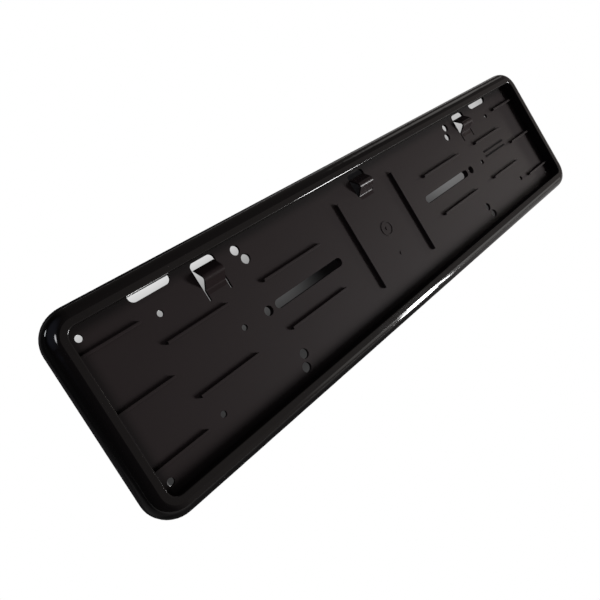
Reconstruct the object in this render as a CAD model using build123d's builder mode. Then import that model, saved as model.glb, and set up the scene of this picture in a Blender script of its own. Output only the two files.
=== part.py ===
from build123d import *
import math
import os

# Number plate holder, moulded in one piece.
# X runs along the plate, +Z is up, and the front faces -Y.
# The origin is the middle of the back plane, which lies against the bumper.
# A depth is measured from the back plane towards the front.

# Number plate and the play that it has in the tray
plate_w = 520.0
plate_h = 110.0
plate_play_w = 1.5
plate_play_h = 1.75

# Rim around the tray: a flat ledge, and a round flare that falls to the back edge
rim_w = 14.0
ledge_w = 4.7
flare_tilt = 6.0
flare_crown = 6.0
flare_fall = 9.5
corner_r = 6.5
wall = 2.4
edge_r = 0.8
web_t = 1.6
web_setback = 1.2
web_pitch = 92.0
webs_per_side = 5

# Tray floor, set back from the ledge and clear of the bumper
tray_depth = 9.7
floor_t = 2.4
floor_back = 2.6

# Ribs that carry the plate
rib_w = 2.0
rib_h = 3.0
rib_edge_r = 0.4
rib_row_pitch = 19.7
end_rib_l = 41.3
outer_rib_l = 49.6
outer_rib_end_gap = 48.3
inner_rib_l = 59.6
inner_rib_x = 101.0
cross_rib_x = 36.1
cross_rib_end_gap = 18.1

# Slots and holes for the bumper's screws, in from the tray walls or out from the middle
slot_l = 72.0
slot_w = 7.0
slot_x = 96.0
slot_hole_gap = 3.1
hole_d = 7.5
upper_hole_x = 136.7
upper_hole_wall_gap = 8.5
lower_hole_x = 132.7
lower_hole_wall_gap = 17.3
small_hole_d = 4.5
middle_hole_x = 161.6
side_hole_end_gap = 55.3
side_hole_wall_gap = 19.1
corner_hole_d = 4.8
corner_hole_end_gap = 6.4
corner_hole_wall_gap = 7.2

# Pads behind the long slots
pad_margin = 6.0

# Cut-outs beside the top wall
notch_l = 31.0
notch_r = 4.0
notch_side = 1.0
notch_window_gap = 15.1
notch_wall_gap = 0.4

# Spring tongues along the top, each in a window of its own
tongue_pitch = 163.0
tongue_w = 16.8
slit_w = 1.5
window_wall_gap = 1.5
window_h = 27.8
middle_window_h = 20.4
window_r = 3.5
tip_gap = 4.8
tongue_rise = 9.1
upper_leg = 8.0
lower_leg = 7.6
bend_r = 1.6
ridge_r = 3.5

# Low marks that the mould leaves on the floor
mark_h = 0.5
ring_r = 6.6
ring_band = 1.2
pip_r = 1.5
gate_drop = 24.0
bar_l = 38.0
bar_w = 2.0
bar_x = 191.0
bar_z = 2.2
bar_pitch = 5.0

opening_w = plate_w + 2 * plate_play_w
opening_h = plate_h + 2 * plate_play_h
end_x = opening_w / 2
top_z = opening_h / 2
corner_x = end_x - corner_r
corner_z = top_z - corner_r
floor_front = floor_back + floor_t
depth = floor_front + tray_depth
seat = floor_front + rib_h
slot_hole_x = slot_x + slot_l / 2 + slot_hole_gap + hole_d / 2


def flare_curve(inset, foot_depth=0):
    """Curve of the flare, or one inside it, that rises upright and leaves the ledge at its tilt."""
    foot = Vector(corner_r + rim_w - inset, foot_depth)
    crest = Vector(corner_r + ledge_w, depth - inset)
    fall = flare_fall * (crest.Y - foot.Y) / depth
    crown = flare_crown * (foot.X - crest.X) / (rim_w - ledge_w)
    tilt = math.radians(flare_tilt)
    below_crest = Vector(math.cos(tilt), -math.sin(tilt)) * crown
    return Bezier(foot, foot + Vector(0, fall), crest + below_crest, crest)


def rim_section(plane):
    """Section of the hollow rim, out from the corner's axis, on a plane across the rim."""
    with BuildSketch(plane) as section:
        with BuildLine():
            outer = flare_curve(0)
            inner = flare_curve(wall)
            Polyline(
                outer @ 1,
                (corner_r, depth),
                (corner_r, floor_back),
                (corner_r + wall, floor_back),
                (corner_r + wall, depth - wall),
                inner @ 1,
            )
            Line(inner @ 0, outer @ 0)
        make_face()
        fillet(section.vertices().group_by(Axis.Y)[-1].sort_by(Axis.X)[0], edge_r)
    return section.sketch


def web_section(plane):
    """Section of a stiffening web that closes the hollow rim, short of the back plane."""
    with BuildSketch(plane) as section:
        with BuildLine():
            flare = flare_curve(wall / 2, web_setback)
            Polyline(
                flare @ 1,
                (corner_r + wall / 2, depth - wall / 2),
                (corner_r + wall / 2, floor_back),
                (corner_r + wall, web_setback),
                flare @ 0,
            )
        make_face()
    return section.sketch


def mirrored(x, z):
    """The four places at this distance from the two middle lines."""
    return [(x, z), (-x, z), (x, -z), (-x, -z)]


# Planes: the floor seen from the front, and sections across the rim at a corner
front_of_floor = Plane.XZ.offset(floor_front)
back_of_floor = Plane.XZ.offset(floor_back)
across_long_side = Plane((corner_x, 0, corner_z), x_dir=(0, 0, 1), z_dir=(1, 0, 0))
across_short_side = Plane((corner_x, 0, corner_z), x_dir=(1, 0, 0), z_dir=(0, 0, -1))
corner_axis = Axis((corner_x, 0, corner_z), (0, 1, 0))

with BuildPart() as plate_holder:
    # Rim: one quarter from straight runs and a turned corner, then mirrored
    extrude(rim_section(across_long_side), amount=-corner_x)
    extrude(rim_section(across_short_side), amount=corner_z)
    revolve(rim_section(across_long_side), axis=corner_axis, revolution_arc=90)
    mirror(about=Plane.YZ)
    mirror(about=Plane.XY)

    # Tray floor
    with BuildSketch(back_of_floor):
        RectangleRounded(opening_w + 2 * wall, opening_h + 2 * wall, corner_r + wall)
    extrude(amount=floor_t)

    # Pads behind the long slots, down to the back plane
    pad_l = slot_hole_x + hole_d / 2 - slot_x + slot_l / 2 + 2 * pad_margin
    pad_x = slot_hole_x + hole_d / 2 + pad_margin - pad_l / 2
    with BuildSketch(back_of_floor):
        with Locations((pad_x, 0), (-pad_x, 0)):
            SlotOverall(pad_l, slot_w + 2 * pad_margin)
    extrude(amount=-floor_back)

    # Stiffening webs inside the long sides of the rim
    for index in range(webs_per_side):
        web_x = (index - (webs_per_side - 1) / 2) * web_pitch
        for side in (1, -1):
            across_web = Plane((web_x, 0, side * corner_z), x_dir=(0, 0, side), z_dir=(side, 0, 0))
            extrude(web_section(across_web), amount=web_t / 2, both=True)

    # Screw slots and holes, cut right through the floor and the pads
    with BuildSketch(front_of_floor):
        with Locations((slot_x, 0), (-slot_x, 0)):
            SlotOverall(slot_l, slot_w)
        with Locations((slot_hole_x, 0), (-slot_hole_x, 0)):
            Circle(hole_d / 2)
        with Locations(*mirrored(upper_hole_x, top_z - upper_hole_wall_gap)):
            Circle(hole_d / 2)
        with Locations(*mirrored(lower_hole_x, top_z - lower_hole_wall_gap)):
            Circle(hole_d / 2)
        with Locations((middle_hole_x, 0), (-middle_hole_x, 0)):
            Circle(small_hole_d / 2)
        with Locations(*mirrored(end_x - side_hole_end_gap, top_z - side_hole_wall_gap)):
            Circle(small_hole_d / 2)
        with Locations(*mirrored(end_x - corner_hole_end_gap, top_z - corner_hole_wall_gap)):
            Circle(corner_hole_d / 2)
    extrude(amount=-floor_front, mode=Mode.SUBTRACT)

    # Plate ribs on the floor
    end_rib_x = end_x - end_rib_l / 2
    outer_rib_x = end_x - outer_rib_end_gap - outer_rib_l / 2
    cross_rib_l = opening_h - 2 * cross_rib_end_gap
    with BuildSketch(front_of_floor):
        with Locations((end_rib_x, 0), (-end_rib_x, 0), *mirrored(end_rib_x, 2 * rib_row_pitch)):
            Rectangle(end_rib_l, rib_w)
        with Locations(*mirrored(outer_rib_x, rib_row_pitch)):
            Rectangle(outer_rib_l, rib_w)
        with Locations(*mirrored(inner_rib_x, rib_row_pitch)):
            Rectangle(inner_rib_l, rib_w)
        with Locations((cross_rib_x, 0), (-cross_rib_x, 0)):
            Rectangle(rib_w, cross_rib_l)
    extrude(amount=rib_h)
    at_seat = plate_holder.edges().filter_by_position(Axis.Y, -seat - rib_edge_r, -seat + rib_edge_r)
    in_tray = at_seat.filter_by_position(Axis.Z, -corner_z, corner_z)
    fillet(in_tray.filter_by_position(Axis.X, rib_w - end_x, end_x - rib_w), rib_edge_r)

    # Cut-outs beside the top wall
    notch_x = tongue_pitch + tongue_w / 2 + slit_w + notch_window_gap + notch_l / 2
    notch_top = top_z - notch_wall_gap
    notch_h = notch_r + notch_side
    with BuildSketch(front_of_floor) as notches:
        with Locations((notch_x, notch_top), (-notch_x, notch_top)):
            Rectangle(notch_l, notch_h, align=(Align.CENTER, Align.MAX))
        fillet(notches.vertices().group_by(Axis.Y)[0], notch_r)
    extrude(amount=-floor_t, mode=Mode.SUBTRACT)

    # Windows of the spring tongues, the middle one shorter
    window_top = top_z - window_wall_gap
    tongue_windows = [(-tongue_pitch, window_h), (0, middle_window_h), (tongue_pitch, window_h)]
    with BuildSketch(front_of_floor) as windows:
        for x, height in tongue_windows:
            with Locations((x, window_top)):
                Rectangle(tongue_w + 2 * slit_w, height, align=(Align.CENTER, Align.MAX))
        fillet(windows.vertices().group_by(Axis.Y)[-1], window_r)
    extrude(amount=-floor_t, mode=Mode.SUBTRACT)

    # Spring tongues: a strip of the floor, bent forward into a ridge
    tip_z = window_top - tip_gap
    ridge_z = tip_z - upper_leg
    foot_z = ridge_z - lower_leg
    ridge = floor_front + tongue_rise
    for x, height in tongue_windows:
        window_bottom = window_top - height
        with BuildSketch(Plane((x - tongue_w / 2, 0, 0), x_dir=(0, 0, 1), z_dir=(1, 0, 0))) as tongue:
            with BuildLine():
                Polyline(
                    (window_bottom - wall, floor_front),
                    (foot_z, floor_front),
                    (ridge_z, ridge),
                    (tip_z, floor_front),
                    (tip_z, floor_back),
                    (ridge_z, ridge - floor_t),
                    (foot_z, floor_back),
                    (window_bottom - wall, floor_back),
                    close=True,
                )
            make_face()
            bends = tongue.vertices().filter_by_position(Axis.X, foot_z - bend_r, ridge_z + bend_r)
            fillet(bends.sort_by(Axis.Y)[:-1], bend_r)
            fillet(tongue.vertices().sort_by(Axis.Y)[-1], ridge_r)
        extrude(amount=tongue_w)

    # Ring, gate pip and two plain bars in low relief
    with BuildSketch(front_of_floor):
        Circle(ring_r)
        Circle(ring_r - ring_band, mode=Mode.SUBTRACT)
        with Locations((0, 0), (0, -gate_drop)):
            Circle(pip_r)
        with Locations((bar_x, bar_z), (bar_x, bar_z + bar_pitch)):
            Rectangle(bar_l, bar_w)
    extrude(amount=mark_h)

plate_holder.part.label = "plate_holder"
os.makedirs("parts", exist_ok=True)
export_step(plate_holder.part, "parts/plate_holder.step")
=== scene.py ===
"""Number plate holder: the finish of its plastic, the floor, the light and the camera.

The part is one moulding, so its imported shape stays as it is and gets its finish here. Lengths are in
metres, in the part's own frame: X along the plate, Z up, and the front towards -Y.
"""
import logging
import math
from dataclasses import dataclass, field
from enum import Enum
from typing import Any, Dict, List, Mapping, Optional, Sequence, Tuple, Union

import bpy
from mathutils import Matrix, Quaternion, Vector


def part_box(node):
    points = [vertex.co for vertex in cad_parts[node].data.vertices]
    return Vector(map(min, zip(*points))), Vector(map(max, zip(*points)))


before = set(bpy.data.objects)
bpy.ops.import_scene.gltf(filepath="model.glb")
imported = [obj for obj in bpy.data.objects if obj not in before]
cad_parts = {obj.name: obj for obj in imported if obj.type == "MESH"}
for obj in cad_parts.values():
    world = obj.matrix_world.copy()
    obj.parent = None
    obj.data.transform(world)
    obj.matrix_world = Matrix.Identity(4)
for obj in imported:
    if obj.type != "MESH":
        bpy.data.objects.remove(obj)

Colour = Tuple[float, float, float]
Point = Tuple[float, float, float]
Span = Tuple[float, float]

LOG = logging.getLogger("plate_holder")
NODE = "plate_holder"
METRE = 1.0
NOISE_MIDDLE = 0.5
WHITE: Colour = (1.0, 1.0, 1.0)
BLACK: Colour = (0.0, 0.0, 0.0)

# The Mix node's colour sockets go by number, because its other sockets share their names.
MIX_FIRST = 6
MIX_SECOND = 7
MIX_RESULT = 2


class Maths(Enum):
    """Operations of a Math node that the finishes use."""

    ADD = "ADD"
    SUBTRACT = "SUBTRACT"
    MULTIPLY = "MULTIPLY"
    DIVIDE = "DIVIDE"
    MAXIMUM = "MAXIMUM"
    MINIMUM = "MINIMUM"
    ABSOLUTE = "ABSOLUTE"
    SQRT = "SQRT"
    POWER = "POWER"


class Ray(Enum):
    """What a Light Path node tells about the ray that meets a surface."""

    CAMERA = "Is Camera Ray"
    MIRRORED = "Is Glossy Ray"
    PASSED = "Is Transmission Ray"
    SHADOW = "Is Shadow Ray"
    LENGTH = "Ray Length"


@dataclass(frozen=True)
class Wire:
    """An output socket, so that maths on shader values is written as arithmetic."""

    graph: "NodeGraph"
    socket: bpy.types.NodeSocket

    def __add__(self, other: "Value") -> "Wire":
        """Sum of two values."""
        return self.graph.maths(Maths.ADD, self, other)

    __radd__ = __add__

    def __sub__(self, other: "Value") -> "Wire":
        """Difference of two values."""
        return self.graph.maths(Maths.SUBTRACT, self, other)

    def __rsub__(self, other: "Value") -> "Wire":
        """Difference with the number first."""
        return self.graph.maths(Maths.SUBTRACT, other, self)

    def __mul__(self, other: "Value") -> "Wire":
        """Product of two values."""
        return self.graph.maths(Maths.MULTIPLY, self, other)

    __rmul__ = __mul__

    def __truediv__(self, other: "Value") -> "Wire":
        """Quotient of two values."""
        return self.graph.maths(Maths.DIVIDE, self, other)

    def __abs__(self) -> "Wire":
        """Size of a value without its sign."""
        return self.graph.maths(Maths.ABSOLUTE, self)

    def at_least(self, other: "Value") -> "Wire":
        """The larger of two values."""
        return self.graph.maths(Maths.MAXIMUM, self, other)

    def at_most(self, other: "Value") -> "Wire":
        """The smaller of two values."""
        return self.graph.maths(Maths.MINIMUM, self, other)

    def root(self) -> "Wire":
        """Square root of a value."""
        return self.graph.maths(Maths.SQRT, self)

    def power(self, exponent: float) -> "Wire":
        """A value raised to a power."""
        return self.graph.maths(Maths.POWER, self, exponent)

    def step(self, low: float, high: float) -> "Wire":
        """Smooth step from 0 at low to 1 at high.

        Args:
            low: value at which the step starts.
            high: value at which the step is done.

        Returns:
            The stepped value.
        """
        settings = {"interpolation_type": "SMOOTHSTEP"}
        sockets = {"Value": self, "From Min": low, "From Max": high}
        return self.graph.add("ShaderNodeMapRange", settings, sockets)


Value = Union[Wire, float, int, Sequence[float]]


class NodeGraph:
    """A node tree that is filled by one method and by arithmetic on its wires."""

    def __init__(self, tree: bpy.types.NodeTree) -> None:
        """Empties the tree.

        Args:
            tree: node tree of a material or of the world.
        """
        self.tree = tree
        self.tree.nodes.clear()

    def add(
        self,
        kind: str,
        settings: Mapping[str, Any],
        sockets: Mapping[Union[str, int], Value],
        output: Union[str, int] = 0,
    ) -> Wire:
        """Adds one node.

        Args:
            kind: Blender's name for the node's type.
            settings: the node's own settings, set before its sockets.
            sockets: a value or a wire for each named or numbered input.
            output: name or number of the output that is wanted.

        Returns:
            The wanted output, or the node's first input where it has no outputs.
        """
        node = self.tree.nodes.new(kind)
        for name, setting in settings.items():
            setattr(node, name, setting)
        for name, value in sockets.items():
            if isinstance(value, Wire):
                self.tree.links.new(value.socket, node.inputs[name])
            else:
                node.inputs[name].default_value = value
        ends = node.outputs if node.outputs else node.inputs
        return Wire(self, ends[output])

    def maths(self, operation: Maths, first: Value, second: Optional[Value] = None) -> Wire:
        """Adds a Math node.

        Args:
            operation: what the node works out.
            first: first value.
            second: second value, where the operation takes two.

        Returns:
            The node's result.
        """
        values: Dict[Union[str, int], Value] = {0: first}
        if second is not None:
            values[1] = second
        return self.add("ShaderNodeMath", {"operation": operation.value}, values)

    def blend(self, share: Value, first: Value, second: Value) -> Wire:
        """Mixes two colours.

        Args:
            share: 0 for the first colour, 1 for the second.
            first: first colour, with its alpha.
            second: second colour, with its alpha.

        Returns:
            The mixed colour.
        """
        values = {"Factor": share, MIX_FIRST: first, MIX_SECOND: second}
        return self.add("ShaderNodeMix", {"data_type": "RGBA"}, values, output=MIX_RESULT)

    def noise(self, place: Wire, scale: float, detail: float, roughness: float = 0.5) -> Wire:
        """Adds a noise pattern.

        Args:
            place: coordinates of the pattern.
            scale: how many waves there are in a metre.
            detail: octaves of finer noise.
            roughness: strength of the finer noise.

        Returns:
            The noise's level, around 0.5.
        """
        values = {"Vector": place, "Scale": scale, "Detail": detail, "Roughness": roughness}
        return self.add("ShaderNodeTexNoise", {}, values)

    def bump(self, height: Wire) -> Wire:
        """The surface's normal with a height in metres laid on it."""
        return self.add("ShaderNodeBump", {}, {"Distance": METRE, "Height": height})

    def place(self) -> Wire:
        """Place in the object's own frame, or the direction outwards in the world."""
        return self.add("ShaderNodeTexCoord", {}, {}, output="Object")

    def axes(self, place: Wire, names: str = "XYZ") -> List[Wire]:
        """The place along each of the named axes."""
        return [self.add("ShaderNodeSeparateXYZ", {}, {0: place}, output=name) for name in names]

    def ray(self, fact: Ray) -> Wire:
        """A fact about the ray that meets the surface."""
        return self.add("ShaderNodeLightPath", {}, {}, output=fact.value)

    def mix_shaders(self, share: Wire, first: Wire, second: Wire) -> Wire:
        """Mixes two shaders: all of the first at 0, all of the second at 1."""
        return self.add("ShaderNodeMixShader", {}, {0: share, 1: first, 2: second})


def solid(colour: Colour) -> Tuple[float, float, float, float]:
    """The colour with full alpha."""
    return (*colour, 1.0)


@dataclass(frozen=True)
class SatinFinish:
    """Fine-grained moulded face: the tray floor, its walls, the ribs and the tongues.

    Its colour is darker at the foot of the tray's walls, a painted shade, and it is smoother on the
    tongues' ridges.
    """

    cool: Colour = (0.0165, 0.0120, 0.0126)
    warm: Colour = (0.0195, 0.0142, 0.0142)
    # Painted shade along the foot of the tray's walls, and how far out from them it reaches.
    foot: Colour = (0.0052, 0.0038, 0.0039)
    foot_shade_reach: float = 0.010
    roughness: float = 0.62
    roughness_spread: float = 0.06
    ridge_roughness: float = 0.24
    specular: float = 0.12
    cloud_scale: float = 22.0
    cloud_detail: float = 4.0
    cloud_roughness: float = 0.6
    grain_scale: float = 2600.0
    grain_detail: float = 2.0
    grain_height: float = 0.00002


@dataclass(frozen=True)
class DullShadedFinish:
    """Dull top of the two low bars on the tray floor, darker from a painted shade."""

    # Painted shade of the bars' top.
    colour: Colour = (0.0050, 0.0042, 0.0042)
    roughness: float = 1.0


@dataclass(frozen=True)
class GlossFinish:
    """Polished black rim: the ledge and the flare."""

    colour: Colour = (0.0036, 0.0030, 0.0032)
    specular: float = 0.5
    roughness: float = 0.08
    roughness_spread: float = 0.05
    ripple_scale: float = 90.0
    ripple_detail: float = 2.0
    ripple_height: float = 0.00004


@dataclass(frozen=True)
class Block:
    """A block of space along X and Z, in metres, with a soft border."""

    x: Span
    z: Span
    border: float = 0.0003

    def share(self, x: Wire, z: Wire) -> Wire:
        """The block's mask.

        Args:
            x: place along the plate.
            z: place up the plate.

        Returns:
            1 inside the block and 0 outside it.
        """
        left, right = self.x
        bottom, top = self.z
        along = x.step(left, left + self.border) - x.step(right - self.border, right)
        up = z.step(bottom, bottom + self.border) - z.step(top - self.border, top)
        return along * up


def covered(blocks: Sequence[Block], x: Wire, z: Wire) -> Wire:
    """Mask of several blocks that lie apart.

    Args:
        blocks: the blocks.
        x: place along the plate.
        z: place up the plate.

    Returns:
        1 inside any of the blocks and 0 elsewhere.
    """
    first, *others = [block.share(x, z) for block in blocks]
    return sum(others, first)


@dataclass
class PlateHolder:
    """The moulding, its sizes that the finish follows, and its finishes.

    The bars and the tongues are blocks of space around those features. The bars are dull, and darker
    from a painted shade, on the front of the tray floor, and bars_behind is the place along Y where that
    ends.
    """

    rim_width: float = 0.0140
    corner_radius: float = 0.0065
    finish_edge: Span = (0.00005, 0.0003)
    bars: Tuple[Block, ...] = (
        Block((0.1720, 0.2100), (0.0012, 0.0032)),
        Block((0.1720, 0.2100), (0.0062, 0.0082)),
    )
    bars_behind: Span = (-0.0046, -0.0040)
    tongues: Tuple[Block, ...] = (
        Block((-0.1714, -0.1546), (0.0310, 0.0505)),
        Block((-0.0084, 0.0084), (0.0310, 0.0505)),
        Block((0.1546, 0.1714), (0.0310, 0.0505)),
    )
    satin: SatinFinish = field(default_factory=SatinFinish)
    # The bars' dull finish, darker from a painted shade.
    dull: DullShadedFinish = field(default_factory=DullShadedFinish)
    gloss: GlossFinish = field(default_factory=GlossFinish)
    ior: float = 1.48

    def tray_half(self) -> Tuple[float, float]:
        """Half the width and half the height of the tray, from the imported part's box.

        Returns:
            Half the width along X and half the height along Z.
        """
        low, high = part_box(NODE)
        return (high.x - low.x) / 2 - self.rim_width, (high.z - low.z) / 2 - self.rim_width

    def distance_from_tray(self, x: Wire, z: Wire) -> Wire:
        """Distance out from the rounded edge of the tray, seen from the front.

        Args:
            x: place along the plate.
            z: place up the plate.

        Returns:
            The distance, below 0 inside the tray.
        """
        half_width, half_height = self.tray_half()
        past_end = abs(x) - (half_width - self.corner_radius)
        past_side = abs(z) - (half_height - self.corner_radius)
        out_end = past_end.at_least(0.0)
        out_side = past_side.at_least(0.0)
        outside = (out_end * out_end + out_side * out_side).root()
        inside = past_end.at_least(past_side).at_most(0.0)
        return outside + inside - self.corner_radius

    def tray_face(self, graph: NodeGraph, place: Wire, outwards: Wire) -> Wire:
        """Makes the satin face of the tray, with painted shade at the walls' foot and on the dull bars,
        and smoother tongues.

        Args:
            graph: node tree of the material.
            place: place on the part.
            outwards: distance out from the tray's edge.

        Returns:
            The face's shader.
        """
        finish = self.satin
        x, y, z = graph.axes(place)
        # Painted shade: a darker colour near the foot of the tray's walls.
        in_foot_shade = outwards.step(-finish.foot_shade_reach, 0.0)
        # The bars are dull, and darker from a painted shade.
        dull_shaded_bars = covered(self.bars, x, z) * (1 - y.step(*self.bars_behind))
        smoothed = covered(self.tongues, x, z)

        clouds = graph.noise(place, finish.cloud_scale, finish.cloud_detail, finish.cloud_roughness)
        grain = graph.noise(place, finish.grain_scale, finish.grain_detail)
        open_colour = graph.blend(clouds, solid(finish.cool), solid(finish.warm))
        # Painted shade laid over the clouded colour at the foot of the walls.
        colour = graph.blend(in_foot_shade, open_colour, solid(finish.foot))
        moulded = finish.roughness + (clouds - NOISE_MIDDLE) * finish.roughness_spread
        pressed = moulded + smoothed * (finish.ridge_roughness - finish.roughness)
        return graph.add("ShaderNodeBsdfPrincipled", {}, {
            # The bars' darker colour is a painted shade.
            "Base Color": graph.blend(dull_shaded_bars, colour, solid(self.dull.colour)),
            "Roughness": pressed + dull_shaded_bars * (self.dull.roughness - finish.roughness),
            "IOR": self.ior,
            "Specular IOR Level": finish.specular,
            "Normal": graph.bump(grain * finish.grain_height),
        })

    def rim_face(self, graph: NodeGraph, place: Wire) -> Wire:
        """Makes the polished face of the rim.

        Args:
            graph: node tree of the material.
            place: place on the part.

        Returns:
            The face's shader.
        """
        finish = self.gloss
        ripple = graph.noise(place, finish.ripple_scale, finish.ripple_detail)
        return graph.add("ShaderNodeBsdfPrincipled", {}, {
            "Base Color": solid(finish.colour),
            "Roughness": finish.roughness + (ripple - NOISE_MIDDLE) * finish.roughness_spread,
            "IOR": self.ior,
            "Specular IOR Level": finish.specular,
            "Normal": graph.bump(ripple * finish.ripple_height),
        })

    def plastic(self) -> bpy.types.Material:
        """Makes the black plastic, satin in the tray and polished on the rim.

        Returns:
            The material.
        """
        material = bpy.data.materials.new("black_moulded_plastic")
        material.use_nodes = True
        graph = NodeGraph(material.node_tree)
        place = graph.place()
        outwards = self.distance_from_tray(*graph.axes(place, "XZ"))
        tray = self.tray_face(graph, place, outwards)
        rim = self.rim_face(graph, place)
        surface = graph.mix_shaders(outwards.step(*self.finish_edge), tray, rim)
        graph.add("ShaderNodeOutputMaterial", {}, {"Surface": surface})
        return material

    def dress(self) -> bpy.types.Object:
        """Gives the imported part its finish.

        Returns:
            The part's object.
        """
        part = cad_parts[NODE]
        material = self.plastic()
        for slot in part.material_slots:
            slot.material = material
        return part


@dataclass
class PaleFloor:
    """White floor that the holder leans back over, on its lower edge.

    The shade is painted on the floor, in the place that the holder hides from the front. Its ends run out
    with the distance behind the holder, and its back edge lies where painted light comes in over the top.
    It is deepest behind the middle of the holder. Around it, the floor is painted dim, a painted shade
    that the rim mirrors from close by, apart from a painted lighter strip beyond the left end. Places are
    along X, and along Y behind the holder.
    """

    lean: float = math.radians(60.0)
    side: float = 8.0

    colour: Colour = (0.80, 0.78, 0.76)
    # Painted shade, painted deep shade and painted dim floor.
    shade_colour: Colour = (0.40, 0.40, 0.40)
    deep_shade_colour: Colour = (0.05, 0.05, 0.05)
    dim_shade_colour: Colour = (0.08, 0.08, 0.08)

    # Where the painted dim floor lies, and the painted lighter strip beyond the left end.
    dim_from: Span = (-0.06, 0.0)
    dim_until: Span = (-0.05, 0.25)
    dim_beyond: Span = (-0.90, -0.60)
    dim_end: Span = (0.245, 0.272)
    strip_left: Span = (-0.335, -0.305)
    strip_right: Span = (-0.285, -0.275)
    strip_share: float = 0.22

    # Ends and edges of the painted shade.
    left_end: Span = (-0.262, -0.254)
    left_run: float = 0.146
    right_end: Span = (0.272, 0.282)
    right_run: float = 1.82
    front_edge: Span = (0.0005, 0.0015)
    back_edge: float = 0.083
    back_blend: Span = (0.0755, 0.0835)

    # Painted light that comes into the shade, fading towards the holder's lower edge, and where it stops
    # at the far right.
    least_light: float = 0.035
    falloff: float = 3.8
    far_from: Span = (0.090, 0.160)
    far_light: float = 0.45
    far_falloff: float = 1.6
    far_until: Span = (0.345, 0.380)

    # Where the painted deep shade lies.
    deep_left: Span = (-0.095, -0.045)
    deep_right: Span = (0.048, 0.096)
    deep_run: float = 0.57
    deep_back: Span = (0.0745, 0.0835)
    mirror_reach: Span = (1.5, 3.0)

    def build(self) -> bpy.types.Object:
        """Makes the floor through the lower back edge of the part.

        Returns:
            The floor's object.
        """
        low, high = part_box(NODE)
        foot = (0, high.y, low.z)
        bpy.ops.object.select_all(action="DESELECT")
        bpy.ops.mesh.primitive_plane_add(size=self.side, location=foot, rotation=(self.lean, 0, 0))
        bpy.ops.object.transform_apply(location=True, rotation=True, scale=True)
        floor = bpy.context.object
        floor.name = "floor"
        floor.data.materials.append(self.paint())
        return floor

    def deep_share(self, x: Wire, y: Wire) -> Wire:
        """Mask of the deepest painted shade.

        Args:
            x: place along the plate.
            y: place behind the holder.

        Returns:
            1 in the deepest shade and 0 outside it.
        """
        across = x.step(*self.deep_left) * (1 - (x - y * self.deep_run).step(*self.deep_right))
        return across * (1 - y.step(*self.deep_back))

    def clear_share(self, x: Wire, y: Wire, deep: Wire) -> Wire:
        """How much of the floor's white the painted shade leaves, with painted light fading into it.

        Args:
            x: place along the plate.
            y: place behind the holder.
            deep: mask of the deepest painted shade.

        Returns:
            1 outside the shade, and less inside it.
        """
        past_left = 1 - (x - y * self.left_run).step(*self.left_end)
        past_right = (x - y * self.right_run).step(*self.right_end)
        before = 1 - y.step(*self.front_edge)
        beyond = y.step(*self.back_blend)
        depth = (y / self.back_edge).at_least(0.0).at_most(1.0)
        far = x.step(*self.far_from)
        # Painted light that fades into the gap behind the holder.
        rise = depth.power(self.falloff) * (1 - far) + depth.power(self.far_falloff) * far * self.far_light
        lit = rise.at_least(self.least_light) * (1 - deep) * (1 - x.step(*self.far_until))
        return past_left.at_least(past_right).at_least(before).at_least(lit).at_least(beyond)

    def dim_share(self, x: Wire, y: Wire) -> Wire:
        """Mask of the painted dim floor to the left and behind.

        Args:
            x: place along the plate.
            y: place behind the holder.

        Returns:
            1 where the floor is painted dim, less in the painted lighter strip, and 0 elsewhere.
        """
        # A painted lighter strip beyond the left end, which the rim's outer edge mirrors as a sheen.
        strip = x.step(*self.strip_left) * (1 - x.step(*self.strip_right)) * self.strip_share
        behind = y.step(*self.dim_from) * (1 - x.step(*self.dim_until)) * (1 - strip)
        return behind.at_least(1 - x.step(*self.dim_beyond))

    def paint(self) -> bpy.types.Material:
        """Makes the floor's paint: plain white to look at, with the part's shade painted behind the part.

        Returns:
            The material.
        """
        material = bpy.data.materials.new("floor_white")
        material.use_nodes = True
        graph = NodeGraph(material.node_tree)
        x, y = graph.axes(graph.place(), "XY")
        deep = self.deep_share(x, y)
        clear = self.clear_share(x, y, deep)
        dim = self.dim_share(x, y)

        # Painted shade, painted dim floor and painted deep shade in the floor's colour.
        shaded = graph.blend(clear, solid(self.shade_colour), solid(self.colour))
        # Painted dim floor at the right end, behind the right corner holes.
        dim_corner = (x - y).step(*self.dim_end) * (1 - clear)
        dimmed = graph.blend(dim.at_least(dim_corner), shaded, solid(self.dim_shade_colour))
        colour = graph.blend(deep * (1 - clear), dimmed, solid(self.deep_shade_colour))
        painted = graph.add("ShaderNodeBsdfDiffuse", {}, {"Color": colour})

        far_mirrored = graph.ray(Ray.MIRRORED) * graph.ray(Ray.LENGTH).step(*self.mirror_reach) * (1 - dim)
        shown = graph.ray(Ray.CAMERA).at_least(graph.ray(Ray.PASSED)).at_least(far_mirrored)
        white = graph.add("ShaderNodeEmission", {}, {"Color": solid(WHITE), "Strength": 1.0})
        front = graph.mix_shaders(shown * clear, painted, white)

        nothing = graph.add("ShaderNodeBsdfTransparent", {}, {})
        behind = graph.add("ShaderNodeNewGeometry", {}, {}, output="Backfacing")
        surface = graph.mix_shaders(behind.at_least(graph.ray(Ray.SHADOW)), front, nothing)
        graph.add("ShaderNodeOutputMaterial", {}, {"Surface": surface})
        return material


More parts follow.
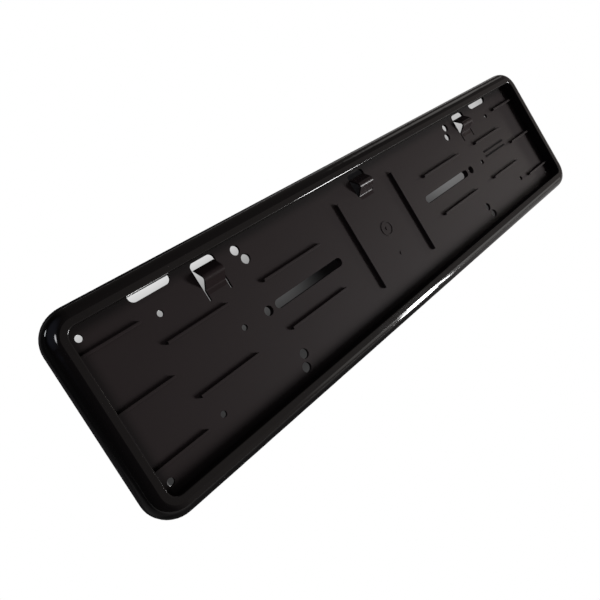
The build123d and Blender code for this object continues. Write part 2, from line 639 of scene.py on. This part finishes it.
@dataclass(frozen=True)
class SoftLamp:
    """An oval lamp that faces the part.

    It hangs in a direction from the part's origin, looks at the aim, is turned about its own axis and
    throws its light within the spread.
    """

    name: str
    direction: Point
    distance: float
    width: float
    height: float
    power: float
    colour: Colour = WHITE
    aim: Point = (0.0, 0.0, 0.0)
    turn: float = 0.0
    spread: float = math.pi

    def build(self) -> bpy.types.Object:
        """Makes the lamp.

        Returns:
            The lamp's object.
        """
        data = bpy.data.lights.new(self.name, "AREA")
        data.shape = "ELLIPSE"
        data.size = self.width
        data.size_y = self.height
        data.energy = self.power
        data.color = self.colour
        data.spread = self.spread
        lamp = bpy.data.objects.new(self.name, data)
        lamp.location = Vector(self.direction).normalized() * self.distance
        facing = (lamp.location - Vector(self.aim)).to_track_quat("Z", "Y")
        lamp.rotation_mode = "QUATERNION"
        lamp.rotation_quaternion = facing @ Quaternion((0.0, 0.0, 1.0), self.turn)
        lamp.visible_camera = False
        bpy.context.scene.collection.objects.link(lamp)
        return lamp


@dataclass(frozen=True)
class Glow:
    """A soft bright patch of the room, seen from the part in one direction."""

    direction: Point
    colour: Colour
    outer_angle: float
    inner_angle: float

    def over(self, graph: NodeGraph, walls: Wire, axes: Sequence[Wire]) -> Wire:
        """Lays the patch over the room's colour.

        Args:
            graph: node tree of the world.
            walls: colour of the room without the patch.
            axes: the view direction along X, Y and Z.

        Returns:
            The colour with the patch.
        """
        towards = Vector(self.direction).normalized()
        facing = axes[0] * towards.x + axes[1] * towards.y + axes[2] * towards.z
        share = facing.step(math.cos(self.outer_angle), math.cos(self.inner_angle))
        return graph.blend(share, walls, solid(self.colour))


@dataclass(frozen=True)
class Room:
    """Dim grey room around the part, lighter to the right, darker overhead, with soft glows.

    The camera sees a plain backdrop in its place.
    """

    backdrop: Colour = WHITE
    left: Colour = (0.032, 0.029, 0.030)
    right: Colour = (0.290, 0.262, 0.248)
    turn: Span = (-0.25, 0.45)
    overhead: Span = (-0.05, 0.35)
    overhead_dim: float = 0.65
    glows: Tuple[Glow, ...] = (
        Glow((0.80, -0.22, 0.55), (0.78, 0.75, 0.72), math.radians(12.0), math.radians(3.0)),
        Glow((0.78, -0.48, -0.40), (1.00, 0.98, 0.95), math.radians(11.0), math.radians(3.0)),
        Glow((0.57, -0.62, -0.54), (0.90, 0.86, 0.82), math.radians(9.0), math.radians(3.0)),
        Glow((-0.62, -0.50, 0.60), (0.14, 0.15, 0.20), math.radians(42.0), math.radians(12.0)),
    )

    def build(self) -> bpy.types.World:
        """Makes the world.

        Returns:
            The scene's world.
        """
        world = bpy.data.worlds.new("room")
        world.use_nodes = True
        graph = NodeGraph(world.node_tree)
        axes = graph.axes(graph.place())
        sides = graph.blend(axes[0].step(*self.turn), solid(self.left), solid(self.right))
        dimmed = axes[2].step(*self.overhead) * self.overhead_dim
        room = graph.blend(dimmed, sides, solid(BLACK))
        for glow in self.glows:
            room = glow.over(graph, room, axes)
        light = graph.add("ShaderNodeBackground", {}, {"Color": room, "Strength": 1.0})
        plain = graph.add("ShaderNodeBackground", {}, {"Color": solid(self.backdrop), "Strength": 1.0})
        surface = graph.mix_shaders(graph.ray(Ray.CAMERA), light, plain)
        graph.add("ShaderNodeOutputWorld", {}, {"Surface": surface})
        bpy.context.scene.world = world
        return world


@dataclass(frozen=True)
class PhotoCamera:
    """Camera at the photograph's viewpoint, high to the left of the part and rolled."""

    place: Point = (-0.32341, -0.32879, 0.03597)
    towards: Point = (0.54928, 0.83348, -0.06009)
    roll: float = math.radians(-31.41)
    image_side: float = 600.0
    focal_pixels: float = 534.82
    centre_pixels: Tuple[float, float] = (288.28, 276.16)
    nearest: float = 0.01
    farthest: float = 50.0

    def build(self) -> bpy.types.Object:
        """Makes the camera and gives it to the scene.

        Returns:
            The camera's object.
        """
        data = bpy.data.cameras.new("photo_camera")
        data.lens = self.focal_pixels / self.image_side * data.sensor_width
        data.shift_x = 0.5 - self.centre_pixels[0] / self.image_side
        data.shift_y = self.centre_pixels[1] / self.image_side - 0.5
        data.clip_start = self.nearest
        data.clip_end = self.farthest
        camera = bpy.data.objects.new("photo_camera", data)
        ahead = Vector(self.towards).normalized()
        level = ahead.to_track_quat("-Z", "Y").to_matrix().to_4x4()
        camera.matrix_world = Matrix.Translation(self.place) @ level @ Matrix.Rotation(self.roll, 4, "Z")
        bpy.context.scene.collection.objects.link(camera)
        bpy.context.scene.camera = camera
        return camera


def lamps() -> List[SoftLamp]:
    """The studio's lamps.

    Returns:
        The key lamp low to the right, a narrow one that rakes over the right half of the tray, two
        windows to the left, and a lamp behind the part.
    """
    return [
        SoftLamp(
            "key_lamp", (0.669, -0.568, -0.479), distance=2.47, width=0.38, height=1.18, power=62.0,
            turn=math.radians(30.0),
        ),
        SoftLamp(
            "raking_lamp", (0.75, -0.20, -0.06), distance=0.78, width=0.12, height=0.12, power=0.0045,
            colour=(1.0, 0.94, 0.84), aim=(0.12, -0.005, -0.012), spread=math.radians(12.0),
        ),
        SoftLamp(
            "front_window", (-0.519, -0.794, 0.315), distance=1.75, width=0.22, height=0.36, power=2.5,
            colour=(0.96, 0.97, 1.0),
        ),
        SoftLamp(
            "back_window", (-0.74, 0.26, 0.62), distance=1.50, width=0.13, height=0.31, power=1.0,
            colour=(0.92, 0.96, 1.0),
        ),
        SoftLamp("back_lamp", (0.17, 0.98, -0.10), distance=3.06, width=0.42, height=0.40, power=80.0),
    ]


def main() -> None:
    """Dresses the part, then builds the floor, the light and the camera around it."""
    logging.basicConfig(level=logging.INFO, format="%(name)s: %(message)s")
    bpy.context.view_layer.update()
    bpy.context.scene.view_settings.view_transform = "Standard"
    part = PlateHolder().dress()
    LOG.info("dressed %s with %s", part.name, part.material_slots[0].material.name)
    LOG.info("laid %s", PaleFloor().build().name)
    LOG.info("set world %s", Room().build().name)
    for lamp in lamps():
        LOG.info("hung %s", lamp.build().name)
    LOG.info("placed %s", PhotoCamera().build().name)


if __name__ == "__main__":
    main()
